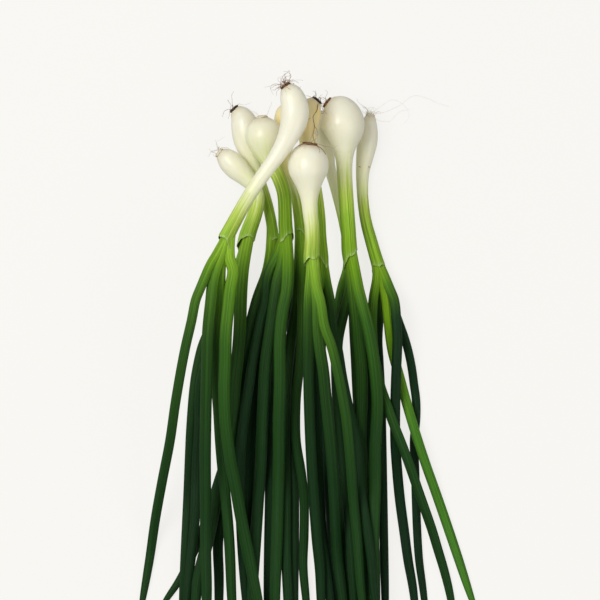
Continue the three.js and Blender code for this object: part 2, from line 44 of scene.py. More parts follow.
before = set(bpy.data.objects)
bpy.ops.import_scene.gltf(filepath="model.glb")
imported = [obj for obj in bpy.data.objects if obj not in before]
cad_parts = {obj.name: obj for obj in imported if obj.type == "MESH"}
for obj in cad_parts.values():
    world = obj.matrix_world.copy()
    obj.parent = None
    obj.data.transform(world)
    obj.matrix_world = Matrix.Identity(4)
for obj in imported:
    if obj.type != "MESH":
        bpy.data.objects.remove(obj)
cad_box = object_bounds()

MM = 0.001

# The lay of the bunch, the same as in the solids
PLAN_CENTRE = np.array([4.94, -50.28])  # the plan point above the origin
STEM_CREST_RADIUS = 180  # the tightest arc, seen from the side, of a stem that crosses another
CLEARANCE = 0.8  # between the surfaces of two onions
BULB_FLAT = 0.4  # how much of a bulb's underside is pressed flat
PRESSED_RADIUS = 4.5  # a stem thicker than this is a bulb, and gets that flat
LEAF_FLATNESS = 0.75  # a leaf's height over its width
LEAF_ROOTED = 14  # length of a leaf that runs inside the shank it forks from
LEAF_TIP_RADIUS = 0.35
SETTLING_SPAN = 8  # heights are averaged over this length each way
SAMPLE_STEP = 2.5  # spacing of the points that are laid down
CURVE_DIVISIONS = 400
SOLID_BULB_SIDES = 10
SOLID_LEAF_SIDES = 6
LEAF_NECK = 0.12  # how much narrower a leaf is where it leaves the shank, as a share
LEAF_NECK_LENGTH = 0.06  # a share of the leaf's length
LEAF_POINT = (12, 0.7)  # powers that set how late and how bluntly a leaf tapers

# How fine the surfaces are, before one subdivision
BULB_SIDES = 28
SHANK_SIDES = 28
LEAF_SIDES = 14
HAIR_SIDES = 5
BULB_LENGTH = 34  # the stretch of a spine that is finely stepped
BULB_STEP = 1.25
MARK_STEP = 0.8
GRAIN_LENGTH = 60  # how far, in mm, the grain runs before it changes
SHANK_STEP = 2

# Bulbs and shanks
SKIN_OVERLAP = 1.2  # length that the white skin runs inside the green one
SKIN_TURN = 0.2  # it starts to turn in this far before the seam
SKIN_TUCK = 0.06  # and turns in by this share of its radius
GREEN_LAP = 0.1  # the green skin starts this far before the seam
SEAM_FADE = 8  # both skins are round and flush at their seam, and uneven from this far away
FOOT_DOME = ((0.35, 0.1), (0.75, 0.2))  # share of the foot's radius and rise, for the rings that close it
DOME_PLACES = (-0.3, -0.15)  # where those rings count as lying along the stem
GOLDEN_BULBS = ("onion_02", "onion_07")
LATE_GREEN = {"onion_06": 15, "onion_09": 5, "onion_10": 6}  # length over which white lasts past the seam
SEAM_BLEND = (16, 1)  # between these distances before the seam the white skin takes on the green one's look

# Lobes and ribs round each skin: how many, and their size as a share of its radius
BULB_LOBES = ((2, 3, 5), 0.018)
BULB_RIBS = ((9, 13), 0.012)
SHANK_LOBES = ((2, 3, 7), 0.02)
LEAF_LOBES = ((2, 3), 0.03)
LOBE_DRIFT = 0.06  # the most, in radians, that a lobe turns in a mm along its stem

# Each onion has its own number on top of these seeds
BULB_SEED = 300
LEAVES_SEED = 500
ROOTS_SEED = 700
GRAIN_SPREAD = (7, 3)  # how far apart the grain of two stems is drawn
LEAF_GRAIN = 20  # leaves are numbered from here, past the shanks, so that each has its own grain
MOST_LEAVES = 5

# The sheath round the leaf bases
COLLAR_BACK = 7  # where it starts, before the fork
COLLAR_LIP = (5, 11)  # how far its longer side reaches past the fork
COLLAR_JAG = 2.4  # how ragged its lip is
COLLAR_LOBES = (3, 5, 9)
COLLAR_ROWS = 10
COLLAR_GROWTH = (0.02, 0.3)  # how far it stands off the shank, at its start and its lip
COLLAR_THICKNESS = 0.15
COLLAR_SLANT = 1.4  # power that sets how narrow the longer side of its lip is
COLLAR_PALING = 3  # power that sets how late it turns pale

# How young each leaf's green is, from 0, deep bluish green, to 1, bright yellow-green
SHANK_TONE = 0.72
TONE_BLEND = 34  # length past the fork's root over which a leaf takes its own tone
LEAF_TONES = {
    "onion_01": (0.35, 0.1, 0.05, 0.1),
    "onion_02": (0.1, 0.2, 0.3),
    "onion_03": (0.1, 0.05, 0.3),
    "onion_04": (0.05, 0.0, 1.0, 0.0, 0.45),
    "onion_05": (0.2, 0.1, 0.3),
    "onion_06": (0.2, 0.45, 0.5),
    "onion_07": (0.0, 0.1, 0.05),
    "onion_08": (0.05, 0.2, 0.45),
    "onion_09": (0.1, 0.2, 0.42),
    "onion_10": (0.45, 0.3, 0.4, 0.5),
}

# Root plates: 0 is black crust, 1 orange-brown and 2 pale
PLATE_SHARE = 0.85  # radius over that of the bulb's foot
PLATE_SIDES = 24
PLATE_TONES = {
    "onion_01": 0.1,
    "onion_02": 0.4,
    "onion_06": 1.0,
    "onion_07": 0.1,
    "onion_09": 0.7,
    "onion_10": 0.6,
}
PALE_PLATE = 1.9  # the other plates
PLATE_OFFSET = 0.2  # between the bulb and its plate
# Share of the plate's radius, and rise, of each ring of points
PLATE_RINGS = ((0.96, -0.1), (1.04, 0.35), (0.95, 0.8), (0.72, 1.1), (0.42, 1.0), (0.18, 1.25))
PLATE_BUMPS = 0.13  # how uneven a ring's radius is, as a share
PLATE_CRUST = 0.25  # how uneven its rise is
PLATE_GRAIN = 5  # length, in mm, that a plate's grain runs over

# Hair roots: how many on each onion, and how dark, from 0, dark brown, to 1, straw
HAIRS = {
    "onion_01": 8,
    "onion_04": 16,
    "onion_05": 10,
    "onion_06": 5,
    "onion_07": 12,
    "onion_08": 2,
    "onion_10": 42,
}
FEW_HAIRS = 6
HAIR_TONES = {
    "onion_01": (0.0, 0.5),
    "onion_04": (0.75, 1.0),
    "onion_07": (0.0, 0.4),
    "onion_10": (0.0, 0.4),
}
USUAL_HAIR_TONES = (0.3, 0.9)
HAIR_RADIUS = (0.07, 0.15)
HAIR_LENGTH = (5, 14)
HAIR_STEPS = 18
HAIR_SHARES = (0.5, 0.8, 1, 1.2)  # of the drawn length
HAIR_LEAN = (0.1, 1.3)  # radians from the bulb's axis
HAIR_BASES = (0.1, 0.85)  # shares of the plate's radius
HAIR_RISE = 0.8  # from the bulb's foot to where its hairs start
HAIR_CURL = 0.27
CURL_KEPT = 0.8  # how much of a hair's curl stays at each step
CURL_NEW = 0.6  # and how much is drawn anew
HAIR_TIP_SHARE = 0.45  # a hair's radius at its tip over that at its base
HAIR_TURN = (0.31, 0.17, 0.93)  # a hair's first side faces square to this
HAIR_GRAIN = 10  # length, in mm, that a hair's grain runs over
BOX_MARGIN = 0.3  # hairs keep this far inside the solids' box
HAIR_LOW = np.array(cad_box[0]) / MM + BOX_MARGIN
HAIR_HIGH = np.array(cad_box[1]) / MM - BOX_MARGIN
LONG_HAIR_RADIUS = 0.08
# Long hairs, as plan points with their height
LONG_HAIRS = {
    "onion_04": [
        [[37, 91, 5], [46, 92, 9], [55, 96, 12], [62, 101, 12], [69, 100, 9], [76, 97, 5], [82, 95.5, 1.5]],
        [[37, 90, 5], [44, 95, 8], [51, 99, 9], [57, 96, 8], [60, 90, 5], [57, 86, 2]],
        [[36, 91, 4], [42, 88, 6], [49, 87, 7], [54, 92, 5], [60, 94, 2]],
    ],
}
# Dark lines drawn on the upper side of a bulb: radius, tone and plan points
MARKS = {
    "onion_04": [
        (0.30, 0.0, [[32.5, 62.3], [33.1, 62.0], [33.6, 62.1]]),
        (0.26, 0.0, [[37.6, 62.2], [38.0, 62.0], [38.3, 61.8]]),
    ],
    "onion_07": [
        (0.20, 0.0, [[9.9, 96.4], [9.2, 92.4], [7.2, 89.1], [7.9, 83.6], [7.1, 78.7], [8.2, 74.5]]),
        (0.13, 0.1, [[7.6, 84.2], [8.9, 82.6], [9.7, 80.2], [9.3, 77.6]]),
        (0.12, 0.1, [[7.0, 88.7], [4.6, 87.6], [2.6, 85.1], [1.9, 82.0]]),
        (0.12, 0.2, [[4.4, 87.4], [4.0, 90.2], [2.2, 92.4]]),
    ],
    "onion_09": [
        (0.36, 0.1, [
            [-0.8, 73], [1.6, 73.9], [4.6, 74.2], [7.2, 73.4], [9.6, 72.7], [12.2, 70.9], [14, 68.2],
        ]),
        (0.15, 0.2, [[9.4, 72.6], [10.6, 70.8], [10.4, 68.9]]),
    ],
}

# Light and camera
PHOTO_SIZE = 600
MM_PER_PIXEL = 0.55
PHOTO_MIDDLE = np.array([0, -11])  # the plan point at the middle of the photograph
CAMERA_HEIGHT = 5
PAPER = (0.93, 0.92, 0.888)
FLOOR_SIZE = 12
FLOOR_GREY = (0.13, 0.13, 0.125)
FLOOR_GLOW = 0.865  # brightness of the floor as it is seen, as on a light table
FLOOR_LIGHT = 0.48  # and as it lights the bunch
WORLD_GLOW = 0.925
WORLD_LIGHT = 0.38
SENSOR_WIDTH = 36
# Name, place, width and power of each lamp
SOFTBOXES = (
    ("key", (-0.75, 0.45, 1.6), 1.0, 22),
    ("fill", (1.0, -0.6, 1.3), 1.2, 6),
)

# The onions, in the order they are laid down.
# spine: [x, y, radius] from the foot of the bulb to where the leaves fork.
# green: length of the spine, from the bulb's foot, where white turns to green.
# leaves: the half width, and the plan points after the fork.
ONIONS = [
  {
    "name": "onion_01",
    "green": 44,
    "spine": [
      [-35.8, 93.5, 3.2], [-32.6, 90, 6.2], [-30.3, 84.5, 7.6], [-29.3, 77, 7.4], [-27.2, 68, 5.2],
      [-24.6, 60, 3.8], [-21, 51, 3.2], [-18, 42, 3], [-16, 33, 3], [-14.5, 22.5, 3.1],
    ],
    "leaves": [
      [2.6, [[-15.4, 13.8], [-18.7, -5.5], [-23.1, -27.5], [-27.5, -49.5], [-31.4, -71.5], [-36.3, -88],
        [-42.9, -104.5], [-49, -123.8], [-55.6, -143], [-62.7, -158.4], [-67.7, -167.2], [-73.7, -176],
        [-80.3, -188.1]]],
      [3, [[-16, 9.9], [-15.4, -11], [-15.4, -33], [-15.4, -55], [-16, -77], [-16.5, -99], [-16.5, -121],
        [-17.1, -148.5], [-17.6, -176], [-17.6, -206.3]]],
      [3.3, [[-16.5, 8.2], [-18.2, -5.5], [-20.9, -22], [-23.1, -38.5], [-24.8, -55], [-26.4, -77],
        [-27.2, -99], [-28.1, -121], [-28.6, -148.5], [-29.2, -176], [-27.5, -211.8]]],
      [3, [[-17.6, 6.6], [-23.7, -11], [-29.2, -33], [-32.5, -55], [-34.7, -77], [-37.4, -96.3],
        [-40.7, -112.8], [-43.5, -129.2], [-45.1, -145.8], [-44.6, -162.2], [-44.6, -176], [-45.7, -206.3]]],
    ],
  },
  {
    "name": "onion_02",
    "green": 50,
    "spine": [
      [-4.5, 97, 3.8], [-5.5, 92, 7.8], [-6.3, 85, 8], [-7.5, 76, 5], [-8.5, 69, 3.4], [-7.5, 62, 2.9],
      [-5, 55, 2.8], [-2, 45, 3], [-0.5, 36, 3.2], [0.5, 27.5, 3.4],
    ],
    "leaves": [
      [3, [[-0.6, 9.9], [-3.9, -2.8], [-5, -11], [-4.4, -33], [-4.4, -55], [-3.9, -77], [-3.9, -93.5],
        [-3.3, -121], [-3.3, -148.5], [-3.3, -176], [-1.7, -206.3]]],
      [3, [[-0.6, 7.7], [-1.7, -11], [-5, -33], [-7.2, -55], [-8.2, -77], [-8.2, -99], [-7.7, -121],
        [-7.7, -148.5], [-6.6, -176], [-5.5, -211.8]]],
      [2.7, [[1.1, 9.9], [1.1, -11], [0.6, -33], [-0.6, -49.5], [-2.2, -66], [-2.2, -88], [0.6, -105.6],
        [2.2, -121], [2.2, -140.2], [1.7, -156.8], [3.3, -176], [5.5, -203.5]]],
    ],
  },
  {
    "name": "onion_03",
    "green": 52,
    "spine": [
      [12, 91.5, 3.4], [12.3, 87, 6.3], [13, 80, 6.3], [14.5, 72, 4.6], [16, 63, 3.4], [18.5, 54, 3],
      [21, 45, 3], [23.5, 35, 3], [25.5, 25, 3], [27, 17, 3.1],
    ],
    "leaves": [
      [3, [[26.4, 6.6], [23.7, -2.8], [22, -11], [20.4, -27.5], [19.8, -44], [20.4, -66], [21.5, -88],
        [23.1, -110], [24.8, -132], [25.9, -154], [27, -176], [28.6, -206.3]]],
      [3, [[28.1, 6.6], [30.8, -5.5], [34.1, -22], [36.3, -38.5], [37.4, -55], [38, -77], [38.5, -99],
        [38.5, -121], [38, -148.5], [38, -176], [38.5, -203.5]]],
      [3.1, [[28.6, 6.6], [29.7, -5.5], [29.7, -22], [30.8, -44], [31.9, -66], [33.6, -88], [35.8, -110],
        [37.4, -132], [38.5, -154], [39.1, -176], [40.2, -211.8]]],
    ],
  },
  {
    "name": "onion_04",
    "green": 44,
    "spine": [
      [38.6, 90, 2.8], [37.8, 84, 4.8], [37, 76, 5.6], [35.6, 67.5, 4.8], [34.4, 59, 3.7],
      [34.3, 49, 3.2], [35, 40, 3.1], [36.5, 31, 3.2], [38.8, 22.5, 3.4], [41.2, 14, 3.5], [43, 8, 3.6],
    ],
    "leaves": [
      [2.6, [[44.6, 2.8], [45.1, -5.5], [44, -16.5], [42.9, -33], [43.5, -44], [44.6, -66], [45.1, -88],
        [45.7, -121], [46.2, -148.5], [46.8, -176], [47.3, -203.5]]],
      [2.5, [[45.7, 2.8], [50.1, -11], [53.9, -22], [57.8, -33], [60, -41.2], [61.6, -49.5],
        [62.7, -57.8], [63.8, -66], [63.8, -77], [62.7, -88], [63.3, -104.5], [63.8, -121],
        [64.4, -137.5], [65.5, -154], [67.7, -170.5], [71, -198]]],
      [2.8, [[45.1, 0], [47.3, -11], [48.4, -22], [50.6, -38.5], [54.5, -52.8], [58.9, -68.8],
        [63.8, -85.2], [69.3, -101.8], [74.8, -117.2], [80.3, -133.1], [86.4, -151.2], [94.6, -176],
        [99, -188.1]]],
      [2.9, [[46.8, 1.1], [49.5, -5.5], [51.7, -11], [52.8, -22], [53.4, -33], [52.8, -49.5],
        [52.3, -66], [52.3, -88], [53.4, -104.5], [55, -121], [57.2, -137.5], [59.4, -154],
        [62.2, -170.5], [64.9, -198]]],
      [2.8, [[42.4, 2.8], [40.2, -11], [39.6, -27.5], [40.7, -41.2], [42.4, -49.5], [44, -57.8],
        [46.8, -66], [50.6, -77], [56.1, -90.8], [61.1, -104.5], [64.9, -115.5], [68.8, -126.5],
        [72.6, -137.5], [75.9, -148.5], [79.2, -159.5], [82.5, -173.2], [86.4, -198]]],
    ],
  },
  {
    "name": "onion_05",
    "green": 33,
    "spine": [
      [-43.8, 69.5, 3.3], [-40.4, 66.8, 5.8], [-35, 61.6, 6.6], [-29.6, 56.4, 5.2], [-25, 51, 4],
      [-23, 45.5, 3.7], [-23.6, 40, 3.9], [-25.6, 33.5, 4.2], [-28, 27, 4.4], [-29, 24, 4.5],
    ],
    "leaves": [
      [2.8, [[-31.4, 13.8], [-35.2, 5.5], [-39.1, -5.5], [-44, -15.4], [-48.4, -24.8], [-53.4, -35.8],
        [-56.7, -49.5], [-58.3, -60.5], [-60, -82.5], [-60.5, -93.5], [-61.6, -121], [-62.7, -143],
        [-64.4, -176], [-65.5, -200.8]]],
      [2.8, [[-33, 9.9], [-38, -5.5], [-44, -22], [-49.5, -38.5], [-53.4, -50.6], [-55, -60.5],
        [-55.6, -82.5], [-56.7, -99], [-57.2, -115.5], [-57.8, -132], [-59.4, -148.5], [-62.2, -176],
        [-64.4, -206.3]]],
      [3.6, [[-30.8, 9.9], [-31.9, 0], [-32.5, -11], [-33, -27.5], [-34.1, -41.2], [-35.8, -57.8],
        [-36.9, -77], [-39.6, -96.3], [-43.5, -110], [-46.2, -121], [-50.6, -143], [-56.1, -165],
        [-57.2, -176], [-61.6, -200.8]]],
    ],
  },
  {
    "name": "onion_06",
    "green": 30,
    "spine": [
      [15.4, 97, 4], [18.6, 94.4, 8.6], [21.6, 90.5, 11.2], [23.6, 84.8, 12], [24.2, 78.8, 10],
      [24.2, 72.5, 6.6], [24.2, 66, 4.8], [24.4, 57.5, 4.3], [25, 47.5, 4.2], [25.8, 36, 4.2],
      [26.6, 25, 4.2], [27, 16, 4.3],
    ],
    "leaves": [
      [2.9, [[27.5, -2.8], [25.9, -11], [23.1, -22], [20.9, -33], [20.4, -44], [20.4, -60.5],
        [22, -82.5], [24.2, -104.5], [26.4, -126.5], [28.1, -148.5], [29.7, -176], [30.8, -203.5]]],
      [3.7, [[29.2, -2.8], [30.8, -19.2], [31.9, -33], [33, -44], [33.6, -55], [33.6, -66], [33, -82.5],
        [33, -99], [33.6, -121], [34.7, -143], [35.2, -176], [36.3, -209]]],
      [3.4, [[30.8, 0], [31.9, -5.5], [34.1, -13.8], [36.9, -24.8], [39.1, -35.8], [40.7, -46.8],
        [41.8, -57.8], [42.4, -68.8], [41.8, -82.5], [41.2, -93.5], [41.2, -110], [40.7, -126.5],
        [40.2, -143], [40.7, -154], [41.2, -176], [42.4, -211.8]]],
    ],
  },
  {
    "name": "onion_07",
    "green": 46,
    "spine": [
      [9, 97.7, 3.4], [5.8, 93.5, 6.4], [4, 86, 6.7], [4, 77.5, 4.8], [5, 69, 3.6], [7, 60, 3],
      [9.5, 47.5, 2.8], [11, 35, 2.9], [11.5, 24, 3], [12.5, 12.5, 3.1],
    ],
    "leaves": [
      [2.9, [[12.7, 2.8], [12.1, -16.5], [11.6, -33], [11, -49.5], [11.6, -66], [13.2, -88],
        [15.4, -110], [17.1, -132], [18.2, -154], [19.2, -176], [20.9, -203.5]]],
      [2.7, [[14.3, 0], [16.5, -11], [18.2, -27.5], [20.9, -38.5], [23.1, -52.3], [25.9, -66],
        [28.6, -77], [31.4, -88], [33.6, -115.5], [36.9, -137.5], [39.1, -154], [40.7, -170.5], [44, -198]]],
      [2.8, [[11.6, 2.8], [8.8, -11], [7.7, -27.5], [8.2, -44], [8.8, -66], [9.4, -88], [10.5, -110],
        [11.6, -132], [13.8, -154], [16.5, -176], [18.7, -209]]],
    ],
  },
  {
    "name": "onion_08",
    "green": 25,
    "spine": [
      [-21, 88.6, 3.8], [-20.6, 85.6, 8], [-20, 80, 10.2], [-19.2, 74.5, 9.4], [-18.2, 69.5, 6.8],
      [-16.6, 65, 4.8], [-13.6, 60, 4.1], [-10.8, 54, 3.9], [-8.8, 47, 3.8], [-8.2, 38, 3.8],
      [-8, 30, 3.9], [-7.6, 25, 3.9],
    ],
    "leaves": [
      [2.9, [[-11, 16.5], [-15.4, 8.2], [-18.2, 0], [-18.7, -11], [-21.5, -22], [-23.7, -33],
        [-25.9, -44], [-27.5, -55], [-29.2, -66], [-30.8, -77], [-32.5, -93.5], [-33, -110],
        [-32.5, -132], [-31.4, -154], [-29.7, -176], [-27.5, -200.8]]],
      [3.4, [[-9.4, 9.9], [-12.1, 0], [-13.8, -11], [-15.4, -22], [-17.1, -33], [-18.7, -44],
        [-19.8, -60.5], [-20.9, -82.5], [-21.5, -99], [-22.6, -115.5], [-23.7, -132], [-24.8, -148.5],
        [-25.9, -165], [-26.4, -176], [-27.5, -209]]],
      [3.4, [[-6.6, 9.9], [-7.2, -5.5], [-9.4, -16.5], [-11, -33], [-11, -55], [-11.6, -77],
        [-11.6, -99], [-12.1, -121], [-12.7, -143], [-13.8, -176], [-13.2, -214.5]]],
    ],
  },
  {
    "name": "onion_09",
    "green": 38,
    "spine": [
      [5.4, 73.4, 4.8], [5, 70.6, 8.6], [4.5, 65, 11], [4.4, 59, 10.9], [4.6, 53.4, 8.2],
      [4.8, 48.4, 6], [5.1, 42.6, 4.6], [5.6, 36, 4.2], [6.4, 29, 4], [6.6, 21, 4.1], [6.2, 13, 4.3],
    ],
    "leaves": [
      [3.1, [[6.1, 4.4], [5, -11], [4.7, -33], [4.7, -55], [5.5, -82.5], [6.6, -104.5], [7.7, -121],
        [9.4, -143], [11, -159.5], [11.6, -176], [12.7, -200.8]]],
      [3.3, [[8.2, 2.8], [9.4, -11], [9.9, -27.5], [11, -38.5], [12.7, -49.5], [14.3, -66],
        [17.1, -93.5], [18.7, -115.5], [19.8, -137.5], [20.9, -154], [23.7, -176], [26.4, -206.3]]],
      [2.8, [[8.8, -2.8], [11, -11], [12.1, -17.6], [13.2, -24.8], [17.1, -35.8], [20.4, -49.5],
        [22.6, -60.5], [25.3, -77], [27, -93.5], [29.2, -121], [31.4, -143], [33, -165], [34.1, -176],
        [36.3, -200.8]]],
    ],
  },
  {
    "name": "onion_10",
    "green": 66,
    "spine": [
      [-7.6, 105, 3.6], [-5.5, 101.8, 6.1], [-3.2, 96, 7.4], [-2.8, 90, 7.8], [-4.3, 83, 6.9],
      [-8, 75, 5.3], [-13.5, 66, 4.3], [-19, 58.5, 3.9], [-25, 50, 3.8], [-30.5, 41, 3.8], [-36, 31, 4],
      [-40.5, 22.5, 4.1],
    ],
    "leaves": [
      [3.1, [[-42.9, 9.9], [-43.5, -2.8], [-43.5, -11], [-44, -22], [-45.1, -35.8], [-45.7, -55],
        [-44.6, -71.5], [-43.5, -90.8], [-41.2, -115.5], [-39.6, -132], [-38.5, -148.5], [-37.4, -176],
        [-35.2, -206.3]]],
      [3.3, [[-44.6, 9.9], [-47.3, 0], [-48.4, -11], [-50.1, -27.5], [-50.6, -44], [-51.2, -66],
        [-51.7, -93.5], [-51.7, -121], [-51.7, -148.5], [-51.2, -176], [-53.4, -211.8]]],
      [2.8, [[-45.7, 13.2], [-48.4, 8.8], [-54.5, -5.5], [-56.7, -11], [-58.9, -22], [-62.7, -38.5],
        [-67.7, -66], [-71, -88], [-75.4, -110], [-79.5, -132], [-82.8, -154], [-86.6, -176],
        [-89.1, -189.8]]],
      [3.4, [[-38.5, 12.1], [-36.3, 5.5], [-38, -5.5], [-39.1, -16.5], [-40.2, -27.5], [-40.7, -44],
        [-41.2, -60.5], [-40.7, -77], [-39.1, -90.8], [-38, -99], [-35.8, -110], [-31.9, -132],
        [-27.5, -154], [-23.1, -176], [-17.6, -203.5]]],
    ],
  },
]


class Strand:
    """A stem as samples along its middle line, with its half width and half height, in millimetres."""

    def __init__(self, x, y, wide, high):
        self.x, self.y, self.wide, self.high = x, y, wide, high
        self.s = travelled(x, y)
        self.z = np.zeros_like(x)

    def at(self, s, key):
        return np.interp(s, self.s, getattr(self, key))

    def point(self, s):
        return np.stack([self.at(s, key) for key in "xyz"], axis=-1)


def travelled(x, y):
    """Distance along the plan at each sample."""
    return np.concatenate([[0], np.cumsum(np.hypot(np.diff(x), np.diff(y)))])


def curve_points(points, t):
    """Points of a centripetal Catmull-Rom curve. points has one more at each end than the curve passes."""
    i = np.clip(np.floor(t).astype(int), 0, len(points) - 4)
    w = (t - i)[:, None]
    p0, p1, p2, p3 = (points[i + k] for k in range(4))
    d0, d1, d2 = (np.sqrt(np.linalg.norm(b - a, axis=1))[:, None] for a, b in ((p0, p1), (p1, p2), (p2, p3)))
    m1 = ((p1 - p0) / d0 - (p2 - p0) / (d0 + d1) + (p2 - p1) / d1) * d1
    m2 = ((p2 - p1) / d1 - (p3 - p1) / (d1 + d2) + (p3 - p2) / d2) * d1
    return p1 + m1 * w + (3 * (p2 - p1) - 2 * m1 - m2) * w**2 + (2 * (p1 - p2) + m1 + m2) * w**3


def sample_curve(points, step=SAMPLE_STEP):
    """Evenly spaced points of a smooth curve through the given ones."""
    points = np.array(points, float)
    extended = np.vstack([2 * points[0] - points[1], points, 2 * points[-1] - points[-2]])
    t = np.linspace(0, len(points) - 1, CURVE_DIVISIONS + 1)
    dense = curve_points(extended, t)
    length = np.concatenate([[0], np.cumsum(np.linalg.norm(np.diff(dense, axis=0), axis=1))])
    count = math.ceil(length[-1] / step)
    return curve_points(extended, np.interp(np.linspace(0, length[-1], count + 1), length, t))


def sample_spine(onion):
    x, y, radius = sample_curve(onion["spine"]).T
    return Strand(x - PLAN_CENTRE[0], y - PLAN_CENTRE[1], radius, radius)


def leaf_taper(t):
    """Share of its full width that a leaf has at t, from 0 at its root to 1 at its tip."""
    return (1 - LEAF_NECK * np.exp(-t / LEAF_NECK_LENGTH)) * (1 - t ** LEAF_POINT[0]) ** LEAF_POINT[1]


def sample_leaf(spine, half_width, route):
    rooted = [spine.point(spine.s[-1] - back)[:2] + PLAN_CENTRE for back in (LEAF_ROOTED, LEAF_ROOTED / 2)]
    x, y = sample_curve([*rooted, *route]).T
    s = travelled(x, y)
    wide = np.maximum(LEAF_TIP_RADIUS, half_width * leaf_taper(s / s[-1]))
    return Strand(x - PLAN_CENTRE[0], y - PLAN_CENTRE[1], wide, wide * LEAF_FLATNESS)


def clear_heights(strand, laid):
    """The lowest heights at which a strand clears the strands already laid."""
    if not laid:
        return np.zeros_like(strand.x)
    keys = ("x", "y", "z", "wide", "high")
    x, y, z, wide, high = (np.concatenate([getattr(other, key) for other in laid]) for key in keys)
    reach = strand.wide[:, None] + wide + CLEARANCE
    apart = np.hypot(strand.x[:, None] - x, strand.y[:, None] - y) / reach
    rise = (strand.high[:, None] + high + CLEARANCE) * np.sqrt(np.clip(1 - apart**2, 0, None))
    return np.where(apart < 1, z + rise, 0).max(axis=1)


def surface_heights(strand, sides):
    """The heights at which a strand rests on the bare surface."""
    flat = strand.high * math.cos(math.pi / sides)
    pressed = (strand.wide > PRESSED_RADIUS) & (sides == SOLID_BULB_SIDES)
    return np.where(pressed, flat - BULB_FLAT, flat)


def bend_over(along, floors):
    """Heights of a stem carried by floors, which bends over them no tighter than the crest radius."""
    sag = (along[:, None] - along[None, :]) ** 2 / (2 * STEM_CREST_RADIUS)
    return np.maximum(0, (floors[None, :] - sag).max(axis=1))


def settle(heights):
    """Averages heights with their neighbours, twice."""
    span = round(SETTLING_SPAN / SAMPLE_STEP)
    for _ in range(2):
        last = len(heights) - 1
        reach = [min(span, i, last - i) for i in range(len(heights))]
        heights = np.array([heights[i - r : i + r + 1].mean() for i, r in enumerate(reach)])
    return heights


def lay_onion(onion, laid):
    """Lays one onion on those already laid. Returns its spine and its leaves, with their heights."""
    spine = sample_spine(onion)
    leaves = [sample_leaf(spine, *leaf) for leaf in onion["leaves"]]
    inside = spine.s[-1] - LEAF_ROOTED
    shared = spine.s < inside
    count = int(shared.sum())

    def floors(strand, sides):
        return np.maximum(surface_heights(strand, sides), clear_heights(strand, laid))

    leaf_floors = [floors(leaf, SOLID_LEAF_SIDES) for leaf in leaves]
    heights = bend_over(spine.s, floors(spine, SOLID_BULB_SIDES))
    for leaf, floor in zip(leaves, leaf_floors):
        x = np.concatenate([spine.x[shared], leaf.x])
        y = np.concatenate([spine.y[shared], leaf.y])
        along = travelled(x, y)
        chain = bend_over(along, np.concatenate([heights[:count], floor]))
        raised = np.where(shared, 0, np.interp(spine.s - inside, leaf.s, chain[count:]))
        raised[:count] = chain[:count]
        heights = np.maximum(heights, raised)
    spine.z = settle(bend_over(spine.s, heights))

    below = []
    for leaf, floor in zip(leaves, leaf_floors):
        shank = np.where(leaf.s < LEAF_ROOTED, spine.at(leaf.s + inside, "z"), 0)
        siblings = np.where(leaf.s > 2 * LEAF_ROOTED, clear_heights(leaf, below), 0)
        carried = np.maximum(floor, shank)
        alone = bend_over(leaf.s, carried)
        stacked = bend_over(leaf.s, np.maximum(carried, siblings))
        share = smoothstep(LEAF_ROOTED, 3 * LEAF_ROOTED, leaf.s)
        leaf.z = settle(alone + (stacked - alone) * share)
        below.append(leaf)
    return spine, leaves


def smoothstep(start, end, x):
    t = np.clip((x - start) / (end - start), 0, 1)
    return t * t * (3 - 2 * t)


def frames(strand, s):
    """Middle points and the sideways and upward directions of rings at distances s."""
    middle = strand.point(s)
    ahead = strand.point(np.minimum(s + SAMPLE_STEP, strand.s[-1]))
    along = ahead - strand.point(np.maximum(s - SAMPLE_STEP, 0))
    along /= np.linalg.norm(along, axis=1)[:, None]
    side = np.cross([0, 0, 1], along)
    side /= np.linalg.norm(side, axis=1)[:, None]
    return middle, side, np.cross(along, side)


